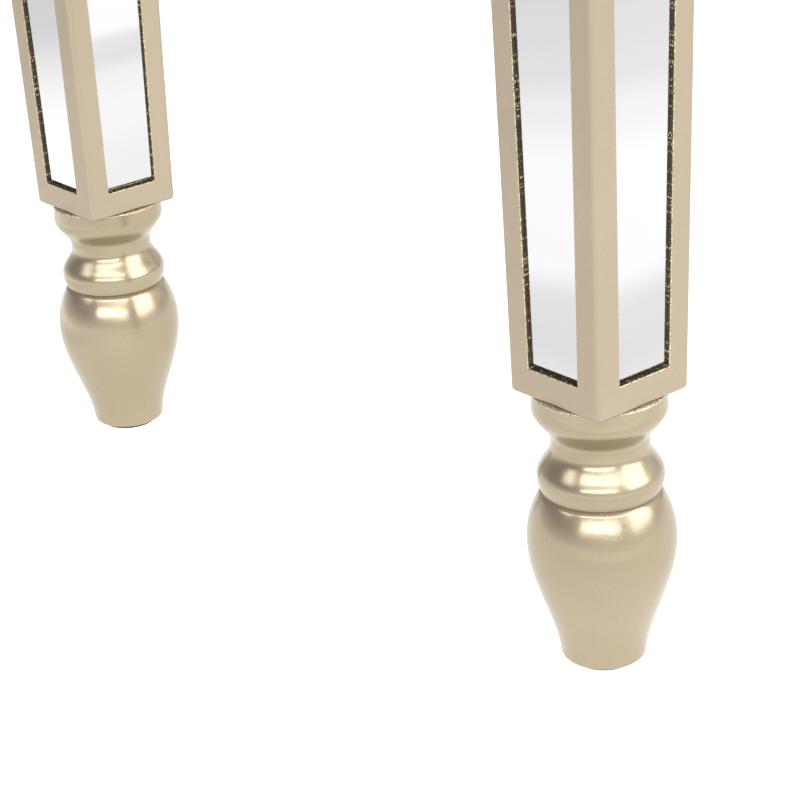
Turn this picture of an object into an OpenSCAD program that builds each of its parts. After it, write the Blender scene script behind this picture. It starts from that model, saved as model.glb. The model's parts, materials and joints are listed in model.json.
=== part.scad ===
// Mirrored vanity table: tapered legs on turned feet, three drawers and a tilting looking mirror.
// Origin at floor level under the middle of the table. X runs left to right, the front faces -Y, Z is up.

/* [Table] */
// Distance between the left and right leg centres
leg_pitch_x = 856; // [840:1:900]
// Distance between the front and back leg centres
leg_pitch_y = 356; // [340:1:390]
// Height of the table top above the floor
table_h = 770; // [750:1:790]
// Height of the case that holds the drawers
apron_h = 130; // [125:1:140]
// How far the top reaches past the legs
overhang = 20; // [14:1:30]

/* [Legs] */
// Width of the square leg where it stands on its foot
leg_low_w = 50.8; // [48:0.2:54]
// Width of the square leg at the case
leg_high_w = 64; // [62:0.5:67]
// Width of the painted border beside each leg mirror
stile_w = 11.7; // [9:0.1:13]
// Height of the painted border under each leg mirror
leg_rail_h = 12.2; // [10:0.1:15]

/* [Mirror strips] */
// Thickness of the strips of mirror glass
glass_t = 3; // [2:0.5:4]
// How far the mirror strips lie below the painted faces
reveal = 1.7; // [1:0.1:2.5]
// Bare floor of a leg's recess between the strip and the border under it
strip_gap = 2; // [0:0.5:4]
// Width of the painted border round the case's mirror panels
border_w = 12; // [9:1:15]

/* [Drawers] */
// Width of the middle drawer's opening
middle_w = 330; // [280:1:360]
// Gap round a drawer in its opening
drawer_gap = 2; // [1.5:0.5:3]

/* [Looking mirror] */
// Width of the looking mirror's frame
frame_w = 520; // [480:10:540]
// Height of the looking mirror's frame at its sides
frame_side_h = 595; // [540:5:620]
// Rise of the frame's curved top
frame_rise = 30; // [20:1:40]
// Width of the frame's border
frame_border = 30; // [28:1:36]
// Thickness of the frame
frame_t = 18; // [18:1:20]

/* [Hidden] */
LEFT = -1;
RIGHT = 1;
FRONT = -1;
BACK = 1;

// Colours
gold = [0.80, 0.72, 0.56];
silver_glass = [0.86, 0.88, 0.90];
clear_glass = [0.90, 0.94, 0.97];
birch = [0.84, 0.72, 0.55];
steel = [0.62, 0.62, 0.64];
dark_plastic = [0.20, 0.19, 0.18];
bare_board = [0.60, 0.48, 0.34];

// How far a cutting shape runs past what it cuts
cut = 1;

// Legs
recess_d = glass_t + reveal;
foot_h = 122.5;
top_t = 22;
case_top = table_h - top_t;
case_low = case_top - apron_h;
leg_half = leg_high_w / 2;
taper_angle = atan((leg_high_w - leg_low_w) / 2 / (case_low - foot_h));
taper_len = (case_low - foot_h) / cos(taper_angle);
dowel_r = 8;
dowel_len = 30;
dowel_gap = 0.1;

// Feet: stations are [radius, height], from the ankle up to the cup under the leg
glide_t = 1.5;
glide_r = 13.5;
nail_r = 1.2;
nail_len = 12;
base_round = 4;
ankle = [17.9, base_round];
belly = [31, 56.5];
crease = [24.4, 78.5];
bead = [26.15, 85.5];
neck_low = [20.2, 99];
neck_high = [20.2, 101.5];
cup = [27.7, 115.5];
cup_lip = [27.3, foot_h];
ankle_wave_low = -1.5;
ankle_wave_r = 17.6;
belly_fullness = 0.85;

// Case: the inner and outer faces of the leg blocks, then its panels and rails
in_x = leg_pitch_x / 2 - leg_half;
in_y = leg_pitch_y / 2 - leg_half;
out_x = leg_pitch_x / 2 + leg_half;
out_y = leg_pitch_y / 2 + leg_half;
panel_inset = 6;
panel_t = 18;
back_t = 12;
side_out = out_x - panel_inset;
side_in = side_out - panel_t;
front_out = -out_y + panel_inset;
front_in = front_out + panel_t;
back_out = out_y - panel_inset;
back_in = back_out - back_t;
low_rail_h = 16;
high_rail_h = 14;
open_low = case_low + low_rail_h;
open_high = case_top - high_rail_h;
bottom_t = 9;
divider_t = 16;
tenon_d = 10;
tenon_t = 8;
tenon_shoulder = 4;

// Drawers: each opening is [left wall, right wall]
left_bay = [-in_x, -middle_w / 2 - divider_t];
middle_bay = [-middle_w / 2, middle_w / 2];
right_bay = [middle_w / 2 + divider_t, in_x];
side_t = 12;
box_low = open_low + 4;
box_high = open_high - 6;
box_back = back_in - 0.5;
floor_t = 4;
floor_low = box_low + 6;
floor_groove = 5;
tongue = 6;
runner_z = (open_low + open_high) / 2;
runner_h = 12;
runner_d = 6;
runner_end_gap = 6;
runner_front = front_in + runner_end_gap;
runner_back = back_in - runner_end_gap;
block_h = 50;
groove_d = 5;
groove_h = 13;

// Knobs: crystal_seat is the crystal's height above the drawer's glass
stud_r = 2;
rosette_t = 4;
rosette_r = 9;
collar_r = 5;
crystal_seat = 10;
seat_r = 7;
girdle_r = 13;
table_r = 7;
knob_z = runner_z;
knob_reach = out_y + overhang;
knob_spread = 90;
left_knob = [(left_bay[0] + left_bay[1]) / 2];
middle_knobs = [-knob_spread, knob_spread];
right_knob = [(right_bay[0] + right_bay[1]) / 2];

// Table top
top_out_x = out_x + overhang;
top_out_y = out_y + overhang;
moulding_w = 24;
mitre_gap = 0.05;
top_glass_t = 3;
top_glass_high = table_h - 1;
core_high = top_glass_high - top_glass_t;
core_x = top_out_x - moulding_w;
core_y = top_out_y - moulding_w;
nose_r = 5;
nose_step = 3;
cove_r = 6;
cleat_w = 18;
cleat_low = case_top - cleat_w;
top_screw_r = 2;
top_screw_dy = 100;
top_screw_high = core_high - 6;
screw_head_h = 3;
head_past_shank = 2;

// Looking mirror
stand_y = 150;
stand_w = 640;
stand_d = 90;
stand_t = 20;
stand_corner_r = 12;
stand_top = top_glass_high + stand_t;
frame_low = stand_top + 16;
frame_front = stand_y - frame_t / 2;
frame_back = stand_y + frame_t / 2;
frame_lip = 8;
rabbet_w = 8;
mirror_t = 4;
frame_r = (pow(frame_w / 2, 2) + pow(frame_rise, 2)) / (2 * frame_rise);
frame_high = frame_low + frame_side_h + frame_rise;
pivot_z = frame_low + 310;
pivot_up = pivot_z - stand_top;
pivot_r = 4;
pivot_gap = 0.05;
shaft_in = 15;
side_gap = 0.3;
boss_half = 18;
boss_r = 11;
washer_t = 4.7;
washer_r = 8;
post_x = frame_w / 2 + washer_t + side_gap + boss_half;
post_dowel_r = 8;
post_dowel_len = 14;
stand_screw_x = 230;
stand_screw_dy = 20;
stand_screw_r = 2.5;
stand_screw_high = top_glass_high + 16;

// Stations of a mirror post, [radius, height above the stand]
post_stations = [
    [22, 0], [22, 8], [14, 16], [13, 20], [19, 44], [10.5, 96],
    [10.5, 104], [9.5, pivot_up - 40], [13, pivot_up - 32], [11, pivot_up - 24],
    [16.5, pivot_up], [9, pivot_up + 20], [12.5, pivot_up + 34], [1.5, pivot_up + 48]
];
// Outline of a thumb knob, [radius, distance from the post]
thumb_knob = [[9, 0], [9, 2], [13, 5], [14, 8], [13, 11], [9, 14], [4, 15.5]];

// Clips that hold the backboard: clip_inset is from the frame's edge to the clip's screw
clip_len = 26;
clip_w = 12;
clip_t = 1.2;
clip_inset = 11;
clip_end = 6;
clip_side_dz = 160;
clip_end_dx = 120;
clip_screw_r = 1.5;
clip_screw_len = 9;
clip_head_r = 3;
clip_head_h = 1.4;

// ---- Shared shapes ----

// A box from its lowest to its highest corner
module span(low, high) {
    translate(low) cube(high - low);
}

// Half of a wave from a to b as t goes from 0 to 1, level at both ends
function half_wave(a, b, t) = a + (b - a) * (1 - cos(180 * t)) / 2;

// Points of a turned outline between two stations [radius, height], level at both
function wave_points(p, q, steps = 8) =
    [for (i = [0:steps - 1]) [half_wave(p[0], q[0], i / steps), p[1] + (q[1] - p[1]) * i / steps]];

// Points of a whole turned outline through a list of stations
function turned_points(stations) = [
    for (k = [0:len(stations) - 2]) each wave_points(stations[k], stations[k + 1]),
    stations[len(stations) - 1]
];

// A solid turned about Z, from the outline's points
module turned(points) {
    low = points[0][1];
    high = points[len(points) - 1][1];
    rotate_extrude($fn = 96) polygon(concat([[0, low]], points, [[0, high]]));
}

module rounded_rect(w, d, r) {
    square([w - 2 * r, d], center = true);
    square([w, d - 2 * r], center = true);
    for (x = [-1, 1], y = [-1, 1])
        translate([x * (w / 2 - r), y * (d / 2 - r)]) circle(r = r, $fn = 48);
}

// ---- Legs ----

module at_leg(side, end) {
    translate([side * leg_pitch_x / 2, end * leg_pitch_y / 2, 0]) children();
}

module leg_outline() {
    polygon([
        [-leg_low_w / 2, foot_h], [leg_low_w / 2, foot_h],
        [leg_half, case_low], [leg_half, case_top],
        [-leg_half, case_top], [-leg_half, case_low]
    ]);
}

module leg_blank() {
    intersection_for (turn = [0, 90])
        rotate([0, 0, turn]) rotate([90, 0, 0])
            linear_extrude(height = 2 * leg_high_w, center = true) leg_outline();
}

// Draws on one tapered face: x across it, y up it from the leg's low end, z out of it
module on_taper(turn) {
    rotate([0, 0, turn]) translate([0, -leg_low_w / 2, foot_h])
        rotate([taper_angle + 90, 0, 0]) children();
}

// Draws on one face of the square block at the case: y is the height above the floor
module on_block(turn) {
    rotate([0, 0, turn]) translate([0, -leg_half, 0]) rotate([90, 0, 0]) children();
}

function strip_half(up) = leg_low_w / 2 + up * sin(taper_angle) - stile_w;

module strip_outline(gap) {
    low = leg_rail_h + gap;
    high = taper_len - leg_rail_h;
    polygon([
        [-strip_half(low), low], [strip_half(low), low],
        [strip_half(high), high], [-strip_half(high), high]
    ]);
}

module block_outline() {
    half = leg_half - border_w;
    translate([-half, case_low + border_w]) square([2 * half, apron_h - 2 * border_w]);
}

// The glass of one leg, or the recesses that hold it when deep is past glass_t and there is no gap
module leg_panels(side, end, deep, gap = 0) {
    for (turn = [0, 90, 180, 270])
        on_taper(turn) translate([0, 0, -recess_d]) linear_extrude(height = deep) strip_outline(gap);
    for (turn = [end == FRONT ? 0 : 180, side == LEFT ? -90 : 90])
        on_block(turn) translate([0, 0, -recess_d]) linear_extrude(height = deep) block_outline();
}

module leg(side, end) {
    color(gold) difference() {
        at_leg(side, end) leg_blank();
        at_leg(side, end) leg_panels(side, end, recess_d + cut);
        at_leg(side, end) translate([0, 0, foot_h - cut])
            cylinder(r = dowel_r, h = dowel_len + 2 * cut, $fn = 64);
        side_tenons();
        back_tenons();
        rail_tenons(case_low, open_low);
        rail_tenons(open_high, case_top);
    }
}

module leg_mirrors(side, end) {
    color(silver_glass) at_leg(side, end) leg_panels(side, end, glass_t, strip_gap);
}

// ---- Feet ----

// Outline of the foot in pieces, each without its last point
function ankle_points(steps = 5) = [
    for (i = [0:steps - 1]) let (a = 90 * i / steps)
        [ankle[0] - base_round * (1 - sin(a)), glide_t + (base_round - glide_t) * (1 - cos(a))]
];
function calf_points(steps = 18) = [
    for (i = [0:steps - 1]) let (z = ankle[1] + (belly[1] - ankle[1]) * i / steps)
        [half_wave(ankle_wave_r, belly[0], (z - ankle_wave_low) / (belly[1] - ankle_wave_low)), z]
];
function shoulder_points(steps = 12) = [
    for (i = [0:steps - 1]) let (t = 1 - i / steps)
        [crease[0] + (belly[0] - crease[0]) * sin(90 * pow(t, belly_fullness)),
         crease[1] + (belly[1] - crease[1]) * t]
];
function bead_points(steps = 5) = [
    for (i = [0:steps - 1]) let (t = i / steps)
        [crease[0] + (bead[0] - crease[0]) * sin(90 * t), crease[1] + (bead[1] - crease[1]) * t]
];
function foot_points() = concat(
    ankle_points(), calf_points(), shoulder_points(), bead_points(),
    wave_points(bead, neck_low), wave_points(neck_low, neck_high, 1),
    wave_points(neck_high, cup), wave_points(cup, cup_lip, 3), [cup_lip]
);

module foot(side, end) {
    color(gold) at_leg(side, end) difference() {
        union() {
            turned(foot_points());
            cylinder(r = dowel_r - dowel_gap, h = foot_h + dowel_len, $fn = 64);
        }
        translate([0, 0, -cut]) cylinder(r = ankle[0], h = glide_t + cut, $fn = 64);
        cylinder(r = nail_r, h = glide_t + nail_len, $fn = 24);
    }
}

module floor_glides() {
    color(dark_plastic) for (side = [LEFT, RIGHT], end = [FRONT, BACK])
        at_leg(side, end) {
            cylinder(r = glide_r, h = glide_t, $fn = 64);
            cylinder(r = nail_r, h = glide_t + nail_len, $fn = 24);
        }
}

// ---- Case ----

// Stub tenons of the side panels, at both ends of both panels
module side_tenons() {
    mid = (side_in + side_out) / 2;
    for (side = [LEFT, RIGHT])
        span([side * mid - tenon_t / 2, -in_y - tenon_d, case_low + tenon_shoulder],
             [side * mid + tenon_t / 2, in_y + tenon_d, case_top - tenon_shoulder]);
}

module back_tenons() {
    mid = (back_in + back_out) / 2;
    span([-in_x - tenon_d, mid - tenon_t / 2, case_low + tenon_shoulder],
         [in_x + tenon_d, mid + tenon_t / 2, case_top - tenon_shoulder]);
}

module rail_tenons(low, high) {
    mid = (front_in + front_out) / 2;
    span([-in_x - tenon_d, mid - tenon_t / 2, low + tenon_shoulder],
         [in_x + tenon_d, mid + tenon_t / 2, high - tenon_shoulder]);
}

module side_mirror_outline(side, from, to) {
    x = [side * from, side * to];
    span([min(x), -in_y + border_w, case_low + border_w], [max(x), in_y - border_w, case_top - border_w]);
}

module side_panel(side) {
    x = [side * side_in, side * side_out];
    color(gold) difference() {
        union() {
            span([min(x), -in_y, case_low], [max(x), in_y, case_top]);
            intersection() {
                side_tenons();
                span([min(x), -out_y, case_low], [max(x), out_y, case_top]);
            }
        }
        side_mirror_outline(side, side_out - recess_d, side_out + cut);
    }
}

module side_mirrors() {
    color(silver_glass) for (side = [LEFT, RIGHT])
        side_mirror_outline(side, side_out - recess_d, side_out - reveal);
}

module back_panel() {
    color(bare_board) union() {
        span([-in_x, back_in, case_low], [in_x, back_out, case_top]);
        back_tenons();
    }
}

module front_rail(low, high) {
    color(gold) union() {
        span([-in_x, front_out, low], [in_x, front_in, high]);
        rail_tenons(low, high);
    }
}

module divider(side) {
    x = [side * middle_w / 2, side * (middle_w / 2 + divider_t)];
    color(gold) union() {
        span([min(x), front_out, open_low], [max(x), front_in, open_high]);
        span([min(x), front_in, case_low + bottom_t], [max(x), back_in, case_top]);
    }
}

module case_bottom() {
    color(birch) difference() {
        span([-side_in, front_in, case_low], [side_in, back_in, case_low + bottom_t]);
        for (side = [LEFT, RIGHT], end = [FRONT, BACK])
            at_leg(side, end) translate([0, 0, case_low + bottom_t / 2])
                cube([leg_high_w, leg_high_w, 2 * bottom_t], center = true);
    }
}

// Packing blocks that bring the side panels out to the line of the legs
module runner_blocks() {
    color(birch) for (side = [LEFT, RIGHT])
        span([side == LEFT ? -side_in : in_x, -in_y, runner_z - block_h / 2],
             [side == LEFT ? -in_x : side_in, in_y, runner_z + block_h / 2]);
}

module runner(wall, way) {
    x = [wall, wall + way * runner_d];
    span([min(x), runner_front, runner_z - runner_h / 2], [max(x), runner_back, runner_z + runner_h / 2]);
}

module drawer_runners() {
    color(birch) for (bay = [left_bay, middle_bay, right_bay]) {
        runner(bay[0], 1);
        runner(bay[1], -1);
    }
}

// ---- Table top ----

module at_top_screws() {
    for (side = [LEFT, RIGHT], y = [-top_screw_dy, 0, top_screw_dy])
        translate([side * (side_in - cleat_w / 2), y, 0]) children();
}

module at_stand_screws() {
    for (side = [LEFT, RIGHT], way = [-1, 1])
        translate([side * stand_screw_x, stand_y + way * stand_screw_dy, 0]) children();
}

// A screw driven up from below, with its head under the wood that it holds
module screw(r, wood_low, high) {
    low = wood_low - screw_head_h;
    translate([0, 0, low]) cylinder(r = r, h = high - low, $fn = 32);
    translate([0, 0, low]) cylinder(r = r + head_past_shank, h = screw_head_h, $fn = 32);
}

module top_cleats() {
    color(birch) difference() {
        for (side = [LEFT, RIGHT])
            span([side == LEFT ? -side_in : side_in - cleat_w, -in_y, cleat_low],
                 [side == LEFT ? -side_in + cleat_w : side_in, in_y, case_top]);
        at_top_screws() translate([0, 0, cleat_low - cut])
            cylinder(r = top_screw_r, h = cleat_w + 2 * cut, $fn = 32);
    }
}

module top_screws() {
    color(steel) at_top_screws() screw(top_screw_r, cleat_low, top_screw_high);
}

// Cross-section of the edge moulding: x outwards from the core, y up from the case
module moulding_outline() {
    difference() {
        square([moulding_w, top_t]);
        difference() {
            translate([moulding_w - nose_r, top_t - nose_r]) square(nose_r + cut);
            translate([moulding_w - nose_r, top_t - nose_r]) circle(r = nose_r, $fn = 64);
        }
        translate([moulding_w, 0]) circle(r = cove_r, $fn = 64);
        translate([moulding_w - nose_step, cove_r]) square([nose_step + cut, 2]);
    }
}

// One mitred length of moulding along X, its outer edge to -Y
module moulding(length, depth) {
    half = length / 2 - mitre_gap;
    intersection() {
        translate([length / 2, -depth / 2 + moulding_w, case_top]) rotate([90, 0, -90])
            linear_extrude(height = length) moulding_outline();
        translate([0, -depth / 2, case_top - cut]) linear_extrude(height = top_t + 2 * cut) polygon([
            [-half, 0], [half, 0], [half - moulding_w, moulding_w], [-half + moulding_w, moulding_w]
        ]);
    }
}

module top_frame() {
    color(gold) for (turn = [0, 180]) {
        rotate([0, 0, turn]) moulding(2 * top_out_x, 2 * top_out_y);
        rotate([0, 0, turn + 90]) moulding(2 * top_out_y, 2 * top_out_x);
    }
}

module top_board() {
    color(bare_board) difference() {
        span([-core_x, -core_y, case_top], [core_x, core_y, core_high]);
        at_top_screws() translate([0, 0, case_top - cut])
            cylinder(r = top_screw_r, h = top_screw_high - case_top + cut, $fn = 32);
        at_stand_screws() translate([0, 0, case_top - cut])
            cylinder(r = stand_screw_r, h = top_t + cut, $fn = 32);
    }
}

module top_mirror() {
    color(silver_glass) difference() {
        span([-core_x, -core_y, core_high], [core_x, core_y, top_glass_high]);
        at_stand_screws() translate([0, 0, core_high - cut])
            cylinder(r = stand_screw_r + 1, h = top_glass_t + 2 * cut, $fn = 32);
    }
}

// ---- Drawers ----

// The recess in a drawer front, or the glass in it
module drawer_glass(bay, from, to) {
    x_in = drawer_gap + border_w;
    span([bay[0] + x_in, from, open_low + x_in], [bay[1] - x_in, to, open_high - x_in]);
}

module at_knobs(spots) {
    for (x = spots) translate([x, 0, knob_z]) rotate([90, 0, 0]) children();
}

module stud_holes(spots) {
    at_knobs(spots) translate([0, 0, -front_in - cut]) cylinder(r = stud_r, h = panel_t + 2 * cut, $fn = 32);
}

// Tongues at the front ends of a drawer's sides, which its front is grooved for
module side_tongues(bay) {
    for (x = [bay[0] + drawer_gap + side_t / 2, bay[1] - drawer_gap - side_t / 2])
        span([x - tongue / 2, front_in - tongue, box_low], [x + tongue / 2, front_in, box_high]);
}

module drawer_floor(bay) {
    x_in = drawer_gap + side_t - floor_groove;
    span([bay[0] + x_in, front_in - floor_groove, floor_low],
         [bay[1] - x_in, box_back, floor_low + floor_t]);
}

module drawer_front(bay, spots) {
    color(gold) difference() {
        span([bay[0] + drawer_gap, front_out, open_low + drawer_gap],
             [bay[1] - drawer_gap, front_in, open_high - drawer_gap]);
        drawer_glass(bay, front_out - cut, front_out + recess_d);
        side_tongues(bay);
        drawer_floor(bay);
        stud_holes(spots);
    }
}

module drawer_mirror(bay, spots) {
    color(silver_glass) difference() {
        drawer_glass(bay, front_out + reveal, front_out + recess_d);
        stud_holes(spots);
    }
}

module drawer_sides(bay) {
    wall_low = bay[0] + drawer_gap;
    wall_high = bay[1] - drawer_gap;
    color(birch) difference() {
        union() {
            span([wall_low, front_in, box_low], [wall_low + side_t, box_back, box_high]);
            span([wall_high - side_t, front_in, box_low], [wall_high, box_back, box_high]);
            side_tongues(bay);
        }
        drawer_floor(bay);
        for (x = [wall_low - cut, wall_high - groove_d])
            span([x, runner_front - cut, runner_z - groove_h / 2],
                 [x + groove_d + cut, box_back + cut, runner_z + groove_h / 2]);
    }
}

module drawer_back(bay) {
    x_in = drawer_gap + side_t;
    color(birch)
        span([bay[0] + x_in, box_back - side_t, floor_low + floor_t], [bay[1] - x_in, box_back, box_high]);
}

module drawer_bottom(bay) {
    color(bare_board) drawer_floor(bay);
}

// Rosette, collar and stud, measured out of the drawer's glass along z
module knob_bases(spots) {
    face = -front_out - reveal;
    color(gold) at_knobs(spots) {
        translate([0, 0, face]) cylinder(r1 = rosette_r, r2 = rosette_r - 2, h = rosette_t, $fn = 48);
        translate([0, 0, face]) cylinder(r = collar_r, h = crystal_seat, $fn = 48);
        translate([0, 0, -front_in]) cylinder(r = stud_r, h = face + front_in + 1, $fn = 32);
    }
}

// An eight-sided cut crystal: it widens from its seat, then narrows to a flat table
module knob_crystals(spots) {
    seat = -front_out - reveal + crystal_seat;
    length = knob_reach - seat;
    girdle = 0.36 * length;
    belt = 0.18 * length;
    crown = length - girdle - belt;
    color(clear_glass) at_knobs(spots) translate([0, 0, seat]) rotate([0, 0, 22.5]) {
        cylinder(r1 = seat_r, r2 = girdle_r, h = girdle, $fn = 8);
        translate([0, 0, girdle]) cylinder(r = girdle_r, h = belt, $fn = 8);
        translate([0, 0, girdle + belt]) cylinder(r1 = girdle_r, r2 = table_r, h = crown, $fn = 8);
    }
}

// ---- Looking mirror ----

module mirror_stand() {
    color(gold) difference() {
        translate([0, stand_y, top_glass_high]) linear_extrude(height = stand_t)
            rounded_rect(stand_w, stand_d, stand_corner_r);
        for (side = [LEFT, RIGHT])
            translate([side * post_x, stand_y, stand_top - post_dowel_len])
                cylinder(r = post_dowel_r, h = post_dowel_len + cut, $fn = 48);
        at_stand_screws() translate([0, 0, top_glass_high - cut])
            cylinder(r = stand_screw_r, h = stand_screw_high - top_glass_high + cut, $fn = 32);
    }
}

module stand_screws() {
    color(steel) at_stand_screws() screw(stand_screw_r, case_top, stand_screw_high);
}

module mirror_post(side) {
    color(gold) translate([side * post_x, stand_y, 0]) difference() {
        union() {
            translate([0, 0, stand_top]) turned(turned_points(post_stations));
            translate([0, 0, stand_top - post_dowel_len])
                cylinder(r = post_dowel_r, h = post_dowel_len + 4, $fn = 48);
            translate([0, 0, pivot_z]) rotate([0, 90, 0])
                cylinder(r = boss_r, h = 2 * boss_half, center = true, $fn = 64);
        }
        translate([0, 0, pivot_z]) rotate([0, 90, 0])
            cylinder(r = pivot_r + pivot_gap, h = 4 * boss_half, center = true, $fn = 64);
    }
}

// The frame's outline moved inwards by a margin: straight sides under a curved top
module frame_outline(margin) {
    half = frame_w / 2 - margin;
    intersection() {
        translate([-half, frame_low + margin]) square([2 * half, frame_side_h + frame_rise]);
        translate([0, frame_high - frame_r]) circle(r = frame_r - margin, $fn = 256);
    }
}

module frame_plate(margin, front, back) {
    translate([0, back, 0]) rotate([90, 0, 0]) linear_extrude(height = back - front) frame_outline(margin);
}

module pivot_bore(r) {
    for (side = [LEFT, RIGHT])
        translate([side * (frame_w / 2 - shaft_in), stand_y, pivot_z]) rotate([0, side * 90, 0])
            cylinder(r = r, h = shaft_in + cut, $fn = 64);
}

module mirror_frame() {
    color(gold) difference() {
        frame_plate(0, frame_front, frame_back);
        frame_plate(frame_border, frame_front - cut, frame_back + cut);
        frame_plate(frame_border - rabbet_w, frame_front + frame_lip, frame_back + cut);
        pivot_bore(pivot_r);
        at_clips() clip_screw();
    }
}

module mirror_glass() {
    color(silver_glass)
        frame_plate(frame_border - rabbet_w, frame_front + frame_lip, frame_front + frame_lip + mirror_t);
}

module mirror_backboard() {
    color(bare_board) frame_plate(frame_border - rabbet_w, frame_front + frame_lip + mirror_t, frame_back);
}

// Stands at each clip: z points out of the frame's back, x towards its edge
module at_clips() {
    side_x = frame_w / 2 - clip_inset;
    side_z = frame_low + frame_side_h / 2;
    top_z = frame_high - frame_rise / 4 - clip_inset;
    for (side = [LEFT, RIGHT], up = [-1, 1])
        translate([side * side_x, frame_back, side_z + up * clip_side_dz])
            rotate([-90, 0, 0]) rotate([0, 0, side == LEFT ? 180 : 0]) children();
    for (x = [-clip_end_dx, clip_end_dx]) {
        translate([x, frame_back, frame_low + clip_inset]) rotate([-90, 0, 0]) rotate([0, 0, 90]) children();
        translate([x, frame_back, top_z]) rotate([-90, 0, 0]) rotate([0, 0, -90]) children();
    }
}

module clip_screw() {
    translate([0, 0, -clip_screw_len]) cylinder(r = clip_screw_r, h = clip_screw_len + clip_t, $fn = 24);
}

module backboard_clips() {
    color(steel) at_clips() {
        translate([clip_end - clip_len, -clip_w / 2, 0]) cube([clip_len, clip_w, clip_t]);
        translate([0, 0, clip_t]) cylinder(r = clip_head_r, h = clip_head_h, $fn = 32);
        clip_screw();
    }
}

// Thumb knobs with shafts that pass through the posts into the frame
module pivot_knobs() {
    inner = frame_w / 2 - shaft_in;
    head = post_x + boss_half + side_gap;
    color(gold) for (side = [LEFT, RIGHT])
        translate([0, stand_y, pivot_z]) rotate([0, side * 90, 0]) {
            translate([0, 0, inner]) cylinder(r = pivot_r, h = head - inner + 1, $fn = 64);
            translate([0, 0, head]) turned(thumb_knob);
        }
}

module pivot_washers() {
    color(dark_plastic) for (side = [LEFT, RIGHT])
        translate([0, stand_y, pivot_z]) rotate([0, side * 90, 0]) translate([0, 0, frame_w / 2])
            difference() {
                cylinder(r = washer_r, h = washer_t, $fn = 48);
                translate([0, 0, -cut]) cylinder(r = pivot_r, h = washer_t + 2 * cut, $fn = 64);
            }
}

// ---- Nodes ----

leg(LEFT, FRONT);  // front_left_leg
leg(RIGHT, FRONT);  // front_right_leg
leg(LEFT, BACK);  // back_left_leg
leg(RIGHT, BACK);  // back_right_leg
foot(LEFT, FRONT);  // front_left_foot
foot(RIGHT, FRONT);  // front_right_foot
foot(LEFT, BACK);  // back_left_foot
foot(RIGHT, BACK);  // back_right_foot
leg_mirrors(LEFT, FRONT);  // front_left_leg_mirrors
leg_mirrors(RIGHT, FRONT);  // front_right_leg_mirrors
leg_mirrors(LEFT, BACK);  // back_left_leg_mirrors
leg_mirrors(RIGHT, BACK);  // back_right_leg_mirrors
floor_glides();
side_panel(LEFT);  // left_side_panel
side_panel(RIGHT);  // right_side_panel
side_mirrors();
back_panel();
front_rail(open_high, case_top);  // front_top_rail
front_rail(case_low, open_low);  // front_bottom_rail
divider(LEFT);  // left_divider
divider(RIGHT);  // right_divider
case_bottom();
runner_blocks();
drawer_runners();
top_cleats();
top_screws();
top_frame();
top_board();
top_mirror();
drawer_front(left_bay, left_knob);  // left_drawer_front
drawer_mirror(left_bay, left_knob);  // left_drawer_mirror
drawer_sides(left_bay);  // left_drawer_sides
drawer_back(left_bay);  // left_drawer_back
drawer_bottom(left_bay);  // left_drawer_bottom
knob_bases(left_knob);  // left_knob_base
knob_crystals(left_knob);  // left_knob_crystal
drawer_front(middle_bay, middle_knobs);  // middle_drawer_front
drawer_mirror(middle_bay, middle_knobs);  // middle_drawer_mirror
drawer_sides(middle_bay);  // middle_drawer_sides
drawer_back(middle_bay);  // middle_drawer_back
drawer_bottom(middle_bay);  // middle_drawer_bottom
knob_bases(middle_knobs);  // middle_knob_bases
knob_crystals(middle_knobs);  // middle_knob_crystals
drawer_front(right_bay, right_knob);  // right_drawer_front
drawer_mirror(right_bay, right_knob);  // right_drawer_mirror
drawer_sides(right_bay);  // right_drawer_sides
drawer_back(right_bay);  // right_drawer_back
drawer_bottom(right_bay);  // right_drawer_bottom
knob_bases(right_knob);  // right_knob_base
knob_crystals(right_knob);  // right_knob_crystal
mirror_stand();
stand_screws();
mirror_post(LEFT);  // left_mirror_post
mirror_post(RIGHT);  // right_mirror_post
mirror_frame();
mirror_glass();
mirror_backboard();
backboard_clips();
pivot_knobs();
pivot_washers();
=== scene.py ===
"""Looks of the mirrored vanity table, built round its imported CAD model. Metres, Z up, front to -Y."""

import json
import math

import bmesh
import bpy
from mathutils import Matrix, Vector

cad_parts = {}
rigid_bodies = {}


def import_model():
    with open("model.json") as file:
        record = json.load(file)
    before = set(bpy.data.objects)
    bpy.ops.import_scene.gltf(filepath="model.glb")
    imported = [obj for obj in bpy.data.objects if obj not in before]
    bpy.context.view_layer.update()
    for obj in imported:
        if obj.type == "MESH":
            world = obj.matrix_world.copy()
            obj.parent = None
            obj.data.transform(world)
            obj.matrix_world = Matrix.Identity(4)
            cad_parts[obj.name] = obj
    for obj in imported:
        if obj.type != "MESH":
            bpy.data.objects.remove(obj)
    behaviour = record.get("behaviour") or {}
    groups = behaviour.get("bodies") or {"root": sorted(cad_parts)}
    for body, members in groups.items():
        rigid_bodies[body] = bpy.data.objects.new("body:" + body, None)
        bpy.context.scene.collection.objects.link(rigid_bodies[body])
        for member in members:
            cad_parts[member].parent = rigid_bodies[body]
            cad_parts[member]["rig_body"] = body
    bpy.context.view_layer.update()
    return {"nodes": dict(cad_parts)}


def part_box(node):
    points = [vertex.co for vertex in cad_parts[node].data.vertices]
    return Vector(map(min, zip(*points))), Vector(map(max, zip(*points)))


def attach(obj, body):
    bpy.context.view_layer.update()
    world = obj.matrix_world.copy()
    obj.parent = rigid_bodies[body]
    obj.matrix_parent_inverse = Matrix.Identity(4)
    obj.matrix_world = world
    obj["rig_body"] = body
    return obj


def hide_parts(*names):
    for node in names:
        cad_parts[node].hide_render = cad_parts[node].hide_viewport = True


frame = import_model()

NODES = frame["nodes"]
MM = 0.001

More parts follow.
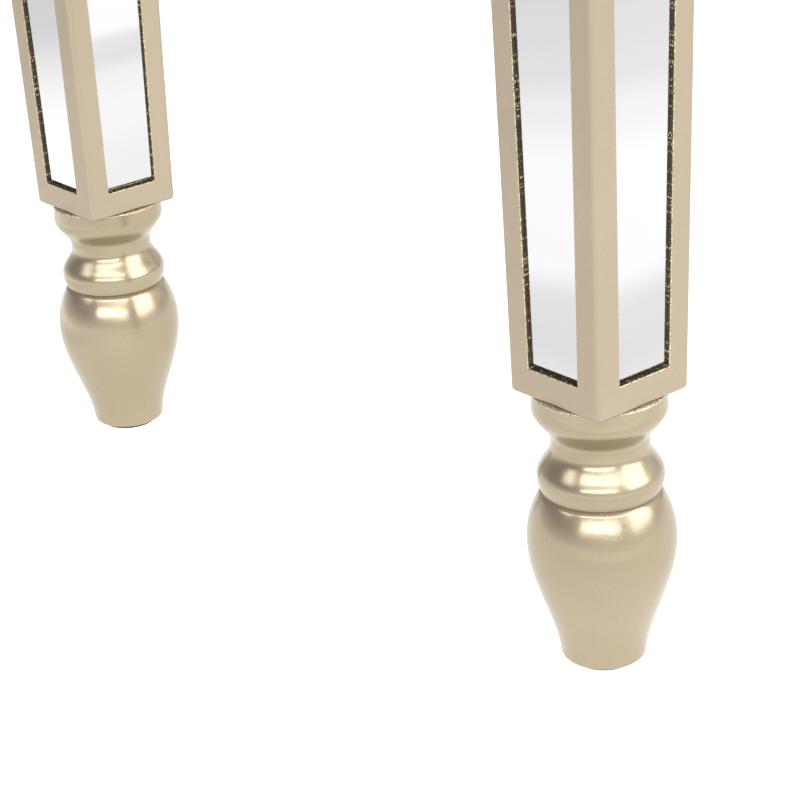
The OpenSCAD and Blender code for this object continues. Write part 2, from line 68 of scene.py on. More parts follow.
# Sizes that the CAD boxes don't give
MIRROR_REVEAL = 1.7 * MM      # how far the mirror strips lie below the painted faces
STRIP_STILE = 11.7 * MM       # painted border beside a leg's mirror strip
STRIP_RAIL = 12.2 * MM        # painted border under a leg's mirror strip
STRIP_GAP = 2.0 * MM          # bare floor of the recess between that border and the strip
PANEL_BORDER = 12.0 * MM      # painted border round the panels of the case
RECESS_DEPTH = 4.7 * MM
LEG_EDGE_RADIUS = 2.6 * MM
LEG_END_ROUNDING = 1.1 * MM
FRAME_RISE = 30 * MM
FRAME_BORDER = 30 * MM
RABBET = 8 * MM

SIDES = ("left", "right")
ENDS = ("front", "back")


# ---------------------------------------------------------------- materials

class Shader:
    """A material with one Principled shader, and short ways to add the nodes that feed it."""

    def __init__(self, name, **values):
        self.material = bpy.data.materials.new(name)
        self.material.use_nodes = True
        self.nodes = self.material.node_tree.nodes
        self.links = self.material.node_tree.links
        self.bsdf = self.nodes["Principled BSDF"]
        self.coords = self.nodes.new("ShaderNodeTexCoord").outputs["Object"]
        for socket, value in values.items():
            self.bsdf.inputs[socket.replace("_", " ")].default_value = value

    def link(self, source, target):
        self.links.new(source, target)

    def stretched(self, scale):
        node = self.nodes.new("ShaderNodeMapping")
        node.inputs["Scale"].default_value = scale
        self.link(self.coords, node.inputs["Vector"])
        return node.outputs["Vector"]

    def noise(self, scale, detail=2.0, vector=None):
        node = self.nodes.new("ShaderNodeTexNoise")
        node.inputs["Scale"].default_value = scale
        node.inputs["Detail"].default_value = detail
        self.link(vector or self.coords, node.inputs["Vector"])
        return node.outputs["Fac"]

    def flakes(self, scale):
        node = self.nodes.new("ShaderNodeTexVoronoi")
        node.inputs["Scale"].default_value = scale
        self.link(self.coords, node.inputs["Vector"])
        grey = self.nodes.new("ShaderNodeRGBToBW")
        self.link(node.outputs["Color"], grey.inputs["Color"])
        return grey.outputs["Val"]

    def ranged(self, value, low, high, out_low, out_high, smooth=False):
        node = self.nodes.new("ShaderNodeMapRange")
        node.interpolation_type = "SMOOTHSTEP" if smooth else "LINEAR"
        limits = {"From Min": low, "From Max": high, "To Min": out_low, "To Max": out_high}
        for socket, number in limits.items():
            node.inputs[socket].default_value = number
        self.link(value, node.inputs["Value"])
        return node.outputs["Result"]

    def math(self, operation, first, second):
        node = self.nodes.new("ShaderNodeMath")
        node.operation = operation
        for socket, value in zip(node.inputs, (first, second)):
            if isinstance(value, (int, float)):
                socket.default_value = value
            else:
                self.link(value, socket)
        return node.outputs["Value"]

    def mix(self, share, first, second):
        """A colour between two colours, each given as numbers or as another node's output."""
        node = self.nodes.new("ShaderNodeMix")
        node.data_type = "RGBA"
        self.link(share, node.inputs["Factor"])
        for socket, value in ((node.inputs[6], first), (node.inputs[7], second)):
            if isinstance(value, tuple):
                socket.default_value = (*value, 1.0)
            else:
                self.link(value, socket)
        return node.outputs[2]

    def colour(self, output):
        self.link(output, self.bsdf.inputs["Base Color"])

    def roughness(self, output):
        self.link(output, self.bsdf.inputs["Roughness"])

    def bump(self, height, depth, strength=1.0, after=None):
        node = self.nodes.new("ShaderNodeBump")
        node.inputs["Distance"].default_value = depth
        node.inputs["Strength"].default_value = strength
        self.link(height, node.inputs["Height"])
        if after:
            self.link(after, node.inputs["Normal"])
        self.link(node.outputs["Normal"], self.bsdf.inputs["Normal"])
        return node.outputs["Normal"]


def champagne_paint(name, light, dark, roughness, peel_depth):
    """Satin metallic paint: a slow drift of tone, fine grain and a slight orange peel."""
    paint = Shader(name, Metallic=0.8)
    drift = paint.noise(14, 3.0)
    tone = paint.mix(paint.ranged(drift, 0.3, 0.7, 0, 1), dark, light)
    grain = paint.noise(1500, 2.0)
    shade = tuple(0.7 * channel for channel in dark)
    paint.colour(paint.mix(paint.ranged(grain, 0.3, 0.8, 0, 0.25), tone, shade))
    cloud = paint.noise(60, 3.0)
    paint.roughness(paint.ranged(cloud, 0.3, 0.7, roughness - 0.03, roughness + 0.03))
    peel = paint.bump(paint.noise(420, 2.0), peel_depth, 0.6)
    paint.bump(grain, peel_depth / 2, 0.8, after=peel)
    return paint.material


def flaked_paint():
    """Thick paint caught in the joints and on sharp lips, with bright and dark flakes."""
    paint = Shader("gold_paint_flaked", Metallic=0.6, Roughness=0.42)
    flake = paint.flakes(1900)
    tone = paint.mix(paint.ranged(flake, 0.20, 0.40, 0, 1), (0.26, 0.19, 0.11), (0.55, 0.45, 0.30))
    paint.colour(paint.mix(paint.ranged(flake, 0.62, 0.72, 0, 1), tone, (0.80, 0.70, 0.50)))
    paint.bump(flake, 0.25 * MM)
    return paint.material


def reveal_paint_and_shade():
    """Rough recess walls dusted with paint, made very dark as painted shade; also the painted contact
    shadow at the low ends of legs and feet.
    """
    wall = Shader("reveal_paint_and_shade", Metallic=0.35, Roughness=0.62)
    dust = wall.noise(1300, 3.0)
    speck = wall.ranged(wall.flakes(1500), 0.80, 0.86, 0, 1)
    base = wall.mix(wall.ranged(dust, 0.35, 0.7, 0, 1), (0.030, 0.024, 0.011), (0.085, 0.068, 0.036))
    wall.colour(wall.mix(speck, base, (0.60, 0.50, 0.30)))
    wall.bump(dust, 0.25 * MM)
    return wall.material


def mirror_glass(name, tint):
    """Silvered glass: a clean reflection with a very faint film of handling marks."""
    glass = Shader(name, Metallic=1.0)
    film = glass.noise(9, 4.0)
    shade = tuple(channel * 0.97 for channel in tint)
    glass.colour(glass.mix(glass.ranged(film, 0.35, 0.7, 0, 1), tint, shade))
    glass.roughness(glass.ranged(film, 0.45, 0.75, 0.004, 0.014))
    return glass.material


def wood(name, grain_axis, light, dark, gloss):
    """Straight-grained light wood under thin lacquer; the grain runs along one axis."""
    board = Shader(name)
    along, across = 3.0, 60.0
    scale = [across] * 3
    scale["xyz".index(grain_axis)] = along
    grain = board.noise(1.0, 5.0, board.stretched(scale))
    fine = board.noise(6.0, 3.0, board.stretched([s * 1.7 for s in scale]))
    streak = board.math("MULTIPLY", grain, board.ranged(fine, 0.3, 0.7, 0.85, 1.15))
    board.colour(board.mix(board.ranged(streak, 0.35, 0.65, 0, 1), light, dark))
    board.roughness(board.ranged(fine, 0.3, 0.7, gloss, gloss + 0.12))
    board.bump(fine, 0.08 * MM, 0.5)
    return board.material


def pressed_board(name, light, dark):
    """Fibreboard and hardboard: a matted brown surface of short fibres."""
    board = Shader(name, Roughness=0.78)
    fibres = board.noise(700, 4.0)
    patches = board.noise(30, 3.0)
    tone = board.math("ADD", board.math("MULTIPLY", fibres, 0.8), board.math("MULTIPLY", patches, 0.2))
    board.colour(board.mix(board.ranged(tone, 0.38, 0.62, 0, 1), light, dark))
    board.bump(fibres, 0.12 * MM)
    return board.material


def plated_steel():
    metal = Shader("zinc_steel", Metallic=1.0)
    cloud = metal.noise(240, 3.0)
    metal.colour(metal.mix(cloud, (0.52, 0.53, 0.55), (0.70, 0.70, 0.70)))
    metal.roughness(metal.ranged(cloud, 0.3, 0.7, 0.24, 0.42))
    return metal.material


def plated_brass():
    metal = Shader("knob_metal", Metallic=1.0)
    cloud = metal.noise(180, 3.0)
    metal.colour(metal.mix(cloud, (0.76, 0.64, 0.42), (0.84, 0.73, 0.52)))
    metal.roughness(metal.ranged(cloud, 0.3, 0.7, 0.16, 0.26))
    metal.bump(metal.noise(900, 2.0), 0.01 * MM, 0.5)
    return metal.material


def nylon(name, tone):
    plastic = Shader(name)
    grain = plastic.noise(900, 3.0)
    plastic.colour(plastic.mix(grain, tone, tuple(1.6 * channel for channel in tone)))
    plastic.roughness(plastic.ranged(grain, 0.3, 0.7, 0.45, 0.6))
    plastic.bump(grain, 0.03 * MM)
    return plastic.material


def cut_crystal():
    glass = Shader("crystal", Roughness=0.01, IOR=1.52, Transmission_Weight=1.0)
    haze = glass.noise(70, 2.0)
    glass.colour(glass.mix(haze, (0.97, 0.985, 0.99), (1.0, 1.0, 1.0)))
    return glass.material


GOLD = champagne_paint("gold_paint", (0.436, 0.364, 0.269), (0.407, 0.340, 0.250), 0.48, 0.02 * MM)
# The feet take the same paint as GOLD, with its colour made darker as painted shade
GOLD_TURNED_SHADED = champagne_paint(
    "gold_paint_turned_shaded", (0.405, 0.338, 0.238), (0.360, 0.300, 0.202), 0.25, 0.06 * MM
)
GOLD_FLAKED = flaked_paint()
# Recess walls: dusted bare board, darkened as painted shade; also painted contact shadows on legs and feet
REVEAL_AND_SHADE = reveal_paint_and_shade()
STRIP_GLASS = mirror_glass("strip_mirror", (0.615, 0.61, 0.62))
LOOKING_GLASS = mirror_glass("looking_mirror", (0.88, 0.89, 0.90))
BIRCH_X = wood("birch_along_x", "x", (0.66, 0.49, 0.30), (0.50, 0.34, 0.19), 0.42)
BIRCH_Y = wood("birch_along_y", "y", (0.66, 0.49, 0.30), (0.50, 0.34, 0.19), 0.42)
FIBREBOARD = pressed_board("fibreboard", (0.36, 0.255, 0.160), (0.26, 0.18, 0.11))
HARDBOARD = pressed_board("hardboard", (0.30, 0.19, 0.11), (0.20, 0.12, 0.065))
STEEL = plated_steel()
BRASS = plated_brass()
GLIDE = nylon("glide_plastic", (0.05, 0.045, 0.04))
WASHER = nylon("washer_nylon", (0.10, 0.095, 0.09))
CRYSTAL = cut_crystal()


# ---------------------------------------------------------------- pieces

def centre(node):
    low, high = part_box(node)
    return (low + high) / 2


def add_piece(name, mesh, materials, node, slot, *more_nodes):
    """Makes the mesh a piece that stands for CAD nodes and rides on their body."""
    obj = bpy.data.objects.new(name, mesh)
    bpy.context.scene.collection.objects.link(obj)
    for material in materials:
        mesh.materials.append(material)
    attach(obj, NODES[node]["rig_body"])
    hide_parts(node, *more_nodes)
    return obj


def mesh_of(name, build):
    """A mesh filled by build(bm)."""
    bm = bmesh.new()
    build(bm)
    bmesh.ops.recalc_face_normals(bm, faces=bm.faces)
    mesh = bpy.data.meshes.new(name)
    bm.to_mesh(mesh)
    bm.free()
    return mesh


def bevel_edges(obj, width, angle, segments):
    """Bevels every edge that is sharper than an angle."""
    bevel = obj.modifiers.new("soft_edges", "BEVEL")
    bevel.width = width
    bevel.segments = segments
    bevel.limit_method = "ANGLE"
    bevel.angle_limit = math.radians(angle)
    bevel.use_clamp_overlap = True


def soft_edges(obj, width, angle=35, segments=3):
    """Rounds every sharp edge a little and keeps the large faces flat."""
    obj.data.shade_smooth()
    bevel_edges(obj, width, angle, segments)
    normals = obj.modifiers.new("flat_faces", "WEIGHTED_NORMAL")
    normals.weight = 100
    return obj


def ground_edges(obj, width, angle=35):
    """Grinds a small flat on every edge of a piece of glass."""
    obj.data.shade_flat()
    bevel_edges(obj, width, angle, segments=1)
    return obj


def smooth_by_angle(obj, angle):
    obj.data.shade_smooth()
    obj.data.set_sharp_from_angle(angle=math.radians(angle))


def apply_modifiers(obj):
    graph = bpy.context.evaluated_depsgraph_get()
    mesh = bpy.data.meshes.new_from_object(obj.evaluated_get(graph))
    obj.modifiers.clear()
    obj.data = mesh


def clean_copy(node):
    """A bmesh of a CAD node with its flat faces made whole again."""
    bm = bmesh.new()
    bm.from_mesh(NODES[node].data)
    bmesh.ops.remove_doubles(bm, verts=bm.verts, dist=0.001 * MM)
    bmesh.ops.dissolve_limit(bm, angle_limit=math.radians(0.3), verts=bm.verts, edges=bm.edges)
    return bm


def copied(node, materials, slot, inner=None):
    """A piece with the exact shape of a CAD node. inner(face) says which faces take the second material."""
    bm = clean_copy(node)
    if inner:
        for face in bm.faces:
            face.material_index = int(inner(face))
    mesh = bpy.data.meshes.new(node)
    bm.to_mesh(mesh)
    bm.free()
    return add_piece(node + "_piece", mesh, materials, node, slot)


def softened(node, material, slot, width, inner=None, segments=3):
    """A copy of a CAD node with rounded edges, and the dark recess finish with its painted shade where
    inner says so.
    """
    return soft_edges(copied(node, [material, REVEAL_AND_SHADE], slot, inner), width, segments=segments)


def mirror_panel(node, width=0.4 * MM):
    """A copy of a CAD node in the strips' mirror glass, with ground edges."""
    return ground_edges(copied(node, [STRIP_GLASS], "mirror_strips"), width)


def circle(bm, radius, height, count, place, offset=0):
    """A ring of points about Z, turned by a share of the step between two points."""
    ring = []
    for i in range(count):
        a = 2 * math.pi * (i + offset) / count
        ring.append(bm.verts.new(place @ Vector((radius * math.cos(a), radius * math.sin(a), height))))
    return ring


def lathe(bm, points, segments, place):
    """Turns an outline of (radius, height) points about Z, and closes both ends."""
    rings = [circle(bm, radius, height, segments, place) for radius, height in points]
    for lower, upper in zip(rings, rings[1:]):
        for i in range(segments):
            j = (i + 1) % segments
            bm.faces.new((lower[i], lower[j], upper[j], upper[i]))
    bm.faces.new(reversed(rings[0]))
    bm.faces.new(rings[-1])


def half_wave(a, b, t):
    return a + (b - a) * (1 - math.cos(math.pi * t)) / 2


def wave(start, end, steps):
    """Outline points from one station to the next, level at both; the last one is left out."""
    return [
        (half_wave(start[0], end[0], i / steps), start[1] + (end[1] - start[1]) * i / steps)
        for i in range(steps)
    ]


# ---------------------------------------------------------------- legs

END_STEPS = 5                 # steps of the rounding at the leg's low end
SHADOW_RINGS = 3                # how many of them take a painted contact shadow in the dark recess finish
CUTTER_RISE = 4 * MM          # how far the recess cutter stands out of the leg's face
LEG_BEVEL = 0.35 * MM
STRIP_BEVEL = 0.15 * MM


def rounded_square(half, radius, height, steps=5):
    """Corner-rounded square as points round its centre, anticlockwise."""
    points = []
    for quarter in range(4):
        start = math.pi / 2 * quarter
        corner = Matrix.Rotation(start, 3, "Z") @ Vector((half - radius, half - radius, 0))
        for i in range(steps + 1):
            a = start + math.pi / 2 * i / steps
            x, y = corner.x + radius * math.cos(a), corner.y + radius * math.sin(a)
            points.append(Vector((x, y, height)))
    return points


def leg_stations(leg_low, leg_high, block_z, half_low, half_high):
    """(half width, corner radius, height) of the leg's sections, with its low end rounded off."""
    r = LEG_EDGE_RADIUS
    e = LEG_END_ROUNDING
    stations = []
    for i in range(END_STEPS + 1):
        a = math.pi / 2 * i / END_STEPS
        stations.append((half_low - e * (1 - math.sin(a)), r, leg_low + e * (1 - math.cos(a))))
    stations.append((half_high, r, block_z))
    stations.append((half_high, r, leg_high))
    return stations


def prism(bm, outline, place, near, far):
    """A closed prism between two depths along local z, with the recess material on every face."""
    low = [bm.verts.new(place @ Vector((x, y, near))) for x, y in outline]
    high = [bm.verts.new(place @ Vector((x, y, far))) for x, y in outline]
    faces = [bm.faces.new(reversed(low)), bm.faces.new(high)]
    count = len(outline)
    for i in range(count):
        j = (i + 1) % count
        faces.append(bm.faces.new((low[i], low[j], high[j], high[i])))
    for face in faces:
        face.material_index = 1


def section_half(points, z):
    """Half the width of a mesh's points at one height."""
    xs = [p.x for p in points if abs(p.z - z) < 0.01 * MM]
    return (max(xs) - min(xs)) / 2


def build_leg(side, end):
    node = f"{end}_{side}_leg"
    glass_node = node + "_mirrors"
    low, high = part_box(node)
    axis = Matrix.Translation(((low.x + high.x) / 2, (low.y + high.y) / 2, 0))
    points = [v.co for v in NODES[node].data.vertices]
    half_low = section_half(points, low.z)
    half_high = (high.x - low.x) / 2
    block_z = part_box("back_panel")[0].z
    taper = math.atan((half_high - half_low) / (block_z - low.z))
    taper_length = (block_z - low.z) / math.cos(taper)

    def shape(bm):
        rings = [
            [bm.verts.new(axis @ p) for p in rounded_square(half, radius, z)]
            for half, radius, z in leg_stations(low.z, high.z, block_z, half_low, half_high)
        ]
        # The lowest rings of the end rounding, and the end face, take the dark finish as a painted contact
        # shadow
        for k, (lower, upper) in enumerate(zip(rings, rings[1:])):
            for i, vert in enumerate(lower):
                j = (i + 1) % len(lower)
                face = bm.faces.new((vert, lower[j], upper[j], upper[i]))
                face.material_index = int(k < SHADOW_RINGS)
        bm.faces.new(reversed(rings[0])).material_index = 1
        bm.faces.new(rings[-1])

    def panels(bm, near, far, gap=0):
        """The prisms of this leg's strips between two depths, with a gap under each tapered one."""
        for turn in range(4):
            place = (
                axis @ Matrix.Rotation(math.pi / 2 * turn, 4, "Z")
                @ Matrix.Translation((0, -half_low, low.z))
                @ Matrix.Rotation(math.pi / 2 + taper, 4, "X")
            )
            ends = (STRIP_RAIL + gap, taper_length - STRIP_RAIL)
            lower, upper = (half_low + up * math.sin(taper) - STRIP_STILE for up in ends)
            outline = [(-lower, ends[0]), (lower, ends[0]), (upper, ends[1]), (-upper, ends[1])]
            prism(bm, outline, place, near, far)
        for turn in (0 if end == "front" else 180, -90 if side == "left" else 90):
            place = (
                axis @ Matrix.Rotation(math.radians(turn), 4, "Z") @ Matrix.Translation((0, -half_high, 0))
                @ Matrix.Rotation(math.pi / 2, 4, "X")
            )
            half = half_high - PANEL_BORDER
            z0, z1 = block_z + PANEL_BORDER, high.z - PANEL_BORDER
            prism(bm, [(-half, z0), (half, z0), (half, z1), (-half, z1)], place, near, far)

    leg = add_piece(node + "_piece", mesh_of(node, shape), [GOLD, REVEAL_AND_SHADE, GOLD_FLAKED], node, "gold_paint")
    cutter_mesh = mesh_of("cutter", lambda bm: panels(bm, -RECESS_DEPTH, CUTTER_RISE))
    cutter = bpy.data.objects.new("cutter", cutter_mesh)
    cutter.data.materials.append(GOLD)
    cutter.data.materials.append(REVEAL_AND_SHADE)
    bpy.context.scene.collection.objects.link(cutter)
    cut = leg.modifiers.new("recesses", "BOOLEAN")
    cut.object = cutter
    cut.solver = "EXACT"
    cut.material_mode = "INDEX"
    apply_modifiers(leg)
    bpy.data.objects.remove(cutter)
    soft_edges(leg, LEG_BEVEL, angle=50, segments=2).modifiers["soft_edges"].material = 2

    glass = mesh_of(glass_node, lambda bm: panels(bm, -RECESS_DEPTH, -MIRROR_REVEAL, STRIP_GAP))
    glass.polygons.foreach_set("material_index", [0] * len(glass.polygons))
    strips = add_piece(glass_node + "_piece", glass, [STRIP_GLASS], glass_node, "mirror_strips")
    ground_edges(strips, STRIP_BEVEL)


# ---------------------------------------------------------------- feet

FOOT_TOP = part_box("front_left_leg")[0].z
GLIDE_TOP = 1.5 * MM
BASE_ROUND = 4 * MM
# Stations of the turned foot, (radius, height)
ANKLE = (17.9 * MM, BASE_ROUND)
BELLY = (31.0 * MM, 56.5 * MM)
CREASE = (24.4 * MM, 78.5 * MM)
BEAD = (26.15 * MM, 85.5 * MM)
NECK = (20.2 * MM, 99.0 * MM)
NECK_TOP = (20.2 * MM, 101.5 * MM)
CUP = (27.7 * MM, 115.5 * MM)
LIP = (27.3 * MM, FOOT_TOP - 0.9 * MM)
LIP_ROUND = 0.8 * MM
CALF_START = (17.6 * MM, -1.5 * MM)
BELLY_FULLNESS = 0.85
CREASE_DEPTH = 0.7 * MM
BASE_SHADOW_HEIGHT = 1.2 * MM          # height of the painted contact shadow, a dark rim at the bottom of the base
FOOT_SEGMENTS = 128


def foot_outline():
    """The foot's outline from its base up to its lip, as (radius, height) points."""
    points = []
    for i in range(8):
        a = math.pi / 2 * i / 8
        points.append((
            ANKLE[0] - BASE_ROUND * (1 - math.sin(a)),
            GLIDE_TOP + (BASE_ROUND - GLIDE_TOP) * (1 - math.cos(a)),
        ))
    steps = 30
    for i in range(steps):
        z = ANKLE[1] + (BELLY[1] - ANKLE[1]) * i / steps
        share = (z - CALF_START[1]) / (BELLY[1] - CALF_START[1])
        points.append((half_wave(CALF_START[0], BELLY[0], share), z))
    steps = 24
    for i in range(steps):
        t = 1 - i / steps
        bulge = math.sin(math.pi / 2 * t ** BELLY_FULLNESS)
        points.append((CREASE[0] + (BELLY[0] - CREASE[0]) * bulge, CREASE[1] + (BELLY[1] - CREASE[1]) * t))
    steps = 10
    for i in range(steps):
        t = i / steps
        points.append((
            CREASE[0] + (BEAD[0] - CREASE[0]) * math.sin(math.pi / 2 * t),
            CREASE[1] + (BEAD[1] - CREASE[1]) * t,
        ))
    points[-steps] = (CREASE[0] - CREASE_DEPTH, CREASE[1])
    points += wave(BEAD, NECK, 18) + wave(NECK, NECK_TOP, 2) + wave(NECK_TOP, CUP, 16) + wave(CUP, LIP, 5)
    for i in range(5):
        a = math.pi / 2 * i / 4
        points.append((LIP[0] - LIP_ROUND * (1 - math.cos(a)), LIP[1] + LIP_ROUND * math.sin(a)))
    return points


def build_foot(side, end):
    node = f"{end}_{side}_foot"
    place = Matrix.Translation((centre(node).x, centre(node).y, 0))
    mesh = mesh_of(node, lambda bm: lathe(bm, foot_outline(), FOOT_SEGMENTS, place))
    for face in mesh.polygons:
        if face.center.z > LIP[1]:
            face.material_index = 1
        elif face.center.z < GLIDE_TOP + BASE_SHADOW_HEIGHT:
            # The dark rim at the bottom of the base is a painted contact shadow
            face.material_index = 2
    foot = add_piece(node + "_piece", mesh, [GOLD_TURNED_SHADED, GOLD_FLAKED, REVEAL_AND_SHADE], node, "gold_paint")
    smooth_by_angle(foot, 30)


# ---------------------------------------------------------------- case, top and drawers

def inside(face, low, high, axes):
    """True if a face's middle lies between two corners along the given axes."""
    middle = face.calc_center_median()
    return all(low[a] < middle[a] < high[a] for a in axes)


def recess_walls(node, face_axis, margin):
    """A test for the walls of the recess in a panel that faces along an axis."""
    slack = 0.5 * MM
    low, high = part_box(node)
    across = [a for a in range(3) if a != face_axis]
    inner_low = [low[a] + margin - slack for a in range(3)]
    inner_high = [high[a] - margin + slack for a in range(3)]

    def test(face):
        return abs(face.normal[face_axis]) < 0.5 and inside(face, inner_low, inner_high, across)
    return test


def build_case():
    for side in SIDES:
        node = f"{side}_side_panel"
        softened(node, GOLD, "gold_paint", 0.6 * MM, recess_walls(node, 0, PANEL_BORDER))
        softened(f"{side}_divider", GOLD, "gold_paint", 0.8 * MM)
    softened("front_top_rail", GOLD, "gold_paint", 0.8 * MM)
    softened("front_bottom_rail", GOLD, "gold_paint", 0.8 * MM)
    mirror_panel("side_mirrors")
    softened("back_panel", FIBREBOARD, "fibreboard", 0.5 * MM)
    softened("case_bottom", BIRCH_X, "birch_wood", 0.5 * MM)
    softened("runner_blocks", BIRCH_Y, "birch_wood", 0.8 * MM)
    softened("drawer_runners", BIRCH_Y, "birch_wood", 0.8 * MM)
    softened("top_cleats", BIRCH_Y, "birch_wood", 0.5 * MM)
    softened("top_frame", GOLD, "gold_paint", 0.5 * MM)
    softened("top_board", FIBREBOARD, "fibreboard", 0.4 * MM)
    mirror_panel("top_mirror")


def build_drawer(which):
    node = f"{which}_drawer_front"
    softened(node, GOLD, "gold_paint", 0.8 * MM, recess_walls(node, 1, PANEL_BORDER))
    mirror_panel(f"{which}_drawer_mirror")
    softened(f"{which}_drawer_sides", BIRCH_Y, "birch_wood", 0.8 * MM)
    softened(f"{which}_drawer_back", BIRCH_X, "birch_wood", 0.8 * MM)
    softened(f"{which}_drawer_bottom", HARDBOARD, "hardboard", 0.3 * MM)


def knob_spots(node):
    """The knobs' places along x, from a node's box: one knob, or one at each end of a wide box."""
    low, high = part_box(node)
    depth = high.z - low.z
    if high.x - low.x < 2 * depth:
        return [(low.x + high.x) / 2]
    return [low.x + depth / 2, high.x - depth / 2]


# A knob's metal base: radii, and stations as (radius, distance out from the drawer's mirror)
BASE_SEGMENTS = 64
STUD_R = 2 * MM
PLATE_R = 9 * MM
PLATE_STEP = 0.8 * MM
PLATE_LIP = (8.6 * MM, 1.2 * MM)
BASE_SHOULDER = (5.2 * MM, 4.0 * MM)
BASE_NECK = (3.9 * MM, 6.4 * MM)
SEAT_R = 6.6 * MM
SEAT_ROUND = 0.6 * MM
SEAT_TOP_R = 6.2 * MM
CRYSTAL_FACETS = 8
# Rings of the crystal: (radius, share of its length, turn as a share of one facet)
CRYSTAL_RINGS = (
    (6.6 * MM, 0, 0), (11.2 * MM, 0.20, 0.5), (12.6 * MM, 0.42, 0),
    (11.6 * MM, 0.66, 0.5), (8.6 * MM, 0.90, 0), (5.4 * MM, 1, 0.5),
)


def build_knobs(base_node, crystal_node):
    base_low, base_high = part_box(base_node)
    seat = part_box(crystal_node)[1].y
    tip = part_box(crystal_node)[0].y
    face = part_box("left_drawer_mirror")[0].y
    height = (base_low.z + base_high.z) / 2
    facing = Matrix.Rotation(math.pi / 2, 4, "X")

    def rosettes(bm):
        stem = face - seat
        seat_edge = (SEAT_R, stem - SEAT_ROUND)
        outline = [
            (STUD_R, face - base_high.y), (STUD_R, 0), (PLATE_R, 0), (PLATE_R, PLATE_STEP),
            *wave(PLATE_LIP, BASE_SHOULDER, 6), *wave(BASE_SHOULDER, BASE_NECK, 5),
            *wave(BASE_NECK, seat_edge, 6), seat_edge, (SEAT_TOP_R, stem),
        ]
        for x in knob_spots(base_node):
            lathe(bm, outline, BASE_SEGMENTS, Matrix.Translation((x, face, height)) @ facing)

    def crystals(bm):
        sides = CRYSTAL_FACETS
        for x in knob_spots(base_node):
            place = Matrix.Translation((x, seat, height)) @ facing
            made = []
            for radius, share, offset in CRYSTAL_RINGS:
                made.append(circle(bm, radius, share * (seat - tip), sides, place, offset))
            for k, (lower, upper) in enumerate(zip(made, made[1:])):
                shift = k % 2
                for i in range(sides):
                    j = (i + 1) % sides
                    if shift:
                        bm.faces.new((lower[i], upper[j], upper[i]))
                        bm.faces.new((lower[i], lower[j], upper[j]))
                    else:
                        bm.faces.new((lower[i], lower[j], upper[i]))
                        bm.faces.new((lower[j], upper[j], upper[i]))
            bm.faces.new(reversed(made[0]))
            bm.faces.new(made[-1])

    base = add_piece(base_node + "_piece", mesh_of(base_node, rosettes), [BRASS], base_node, "knob_metal")
    smooth_by_angle(base, 35)
    crystal_mesh = mesh_of(crystal_node, crystals)
    cut = add_piece(crystal_node + "_piece", crystal_mesh, [CRYSTAL], crystal_node, "crystal")
    cut.data.shade_flat()


# ---------------------------------------------------------------- looking mirror

def frame_ring(margin, arc_steps=32):
    """The frame's outline moved inwards by a margin, as (x, z) points: straight sides, curved top."""
    low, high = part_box("mirror_frame")
    half_width = (high.x - low.x) / 2
    radius = (half_width ** 2 + FRAME_RISE ** 2) / (2 * FRAME_RISE)
    middle = high.z - radius
    half = half_width - margin
    reach = math.asin(half / (radius - margin))
    ring = [(-half, low.z + margin), (half, low.z + margin)]
    for i in range(arc_steps + 1):
        a = reach * (1 - 2 * i / arc_steps)
        ring.append(((radius - margin) * math.sin(a), middle + (radius - margin) * math.cos(a)))
    return ring


# The frame's moulding from its outer edge inwards; distances in from the edge, depths behind the front
OUTER_R = 4 * MM
OUTER_DEPTH = 4.5 * MM
FLAT_DEPTH = OUTER_DEPTH - OUTER_R
FLAT_END = 8.5 * MM
HOLLOW = (9 * MM, 21 * MM)
HOLLOW_EDGE = 1.6 * MM
HOLLOW_DEPTH = 2.6 * MM
BEAD_START = 21.4 * MM
BEAD_R = 2.7 * MM
BEAD_FOOT = 2.2 * MM
INNER_STEP = (27.4 * MM, 3.6 * MM)
INNER_DEPTH = 6.8 * MM
RABBET_DEPTH = 8 * MM


def frame_profile():
    """The frame's moulding as (distance in from the outer edge, depth behind the front face)."""
    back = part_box("mirror_frame")[1].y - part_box("mirror_frame")[0].y
    profile = [(0, back), (0, OUTER_DEPTH)]
    for i in range(1, 7):
        a = math.pi / 2 * i / 6
        profile.append((OUTER_R * (1 - math.cos(a)), OUTER_DEPTH - OUTER_R * math.sin(a)))
    profile += [(FLAT_END, FLAT_DEPTH), (HOLLOW[0], HOLLOW_EDGE)]
    for i in range(1, 8):
        t = i / 8
        across = HOLLOW[0] + (HOLLOW[1] - HOLLOW[0]) * t
        profile.append((across, HOLLOW_EDGE + HOLLOW_DEPTH * math.sin(math.pi * t)))
    profile += [(HOLLOW[1], HOLLOW_EDGE), (BEAD_START, BEAD_FOOT)]
    for i in range(9):
        a = math.pi * i / 8
        profile.append((BEAD_START + BEAD_R * (1 - math.cos(a)), BEAD_R - BEAD_R * math.sin(a)))
    profile += [INNER_STEP, (FRAME_BORDER, INNER_DEPTH), (FRAME_BORDER, RABBET_DEPTH)]
    profile += [(FRAME_BORDER - RABBET, RABBET_DEPTH), (FRAME_BORDER - RABBET, back)]
    return profile


def ring_at(bm, margin, y):
    """The frame's outline moved inwards by a margin, as a ring of points at one depth."""
    return [bm.verts.new((x, y, z)) for x, z in frame_ring(margin)]


def join_rings(bm, rings):
    """Joins each ring of points to the next with a band of faces."""
    for a, b in zip(rings, rings[1:]):
        for i, vert in enumerate(a):
            j = (i + 1) % len(a)
            bm.faces.new((vert, a[j], b[j], b[i]))


def sweep(bm, profile, front):
    """Sweeps a closed profile round the frame's outline, with mitred corners."""
    rings = [ring_at(bm, margin, front + depth) for margin, depth in profile]
    join_rings(bm, rings + rings[:1])


# The bevel cut round the looking mirror's glass
BEVEL_END = FRAME_BORDER + 16 * MM
BEVEL_DROP = 1.4 * MM


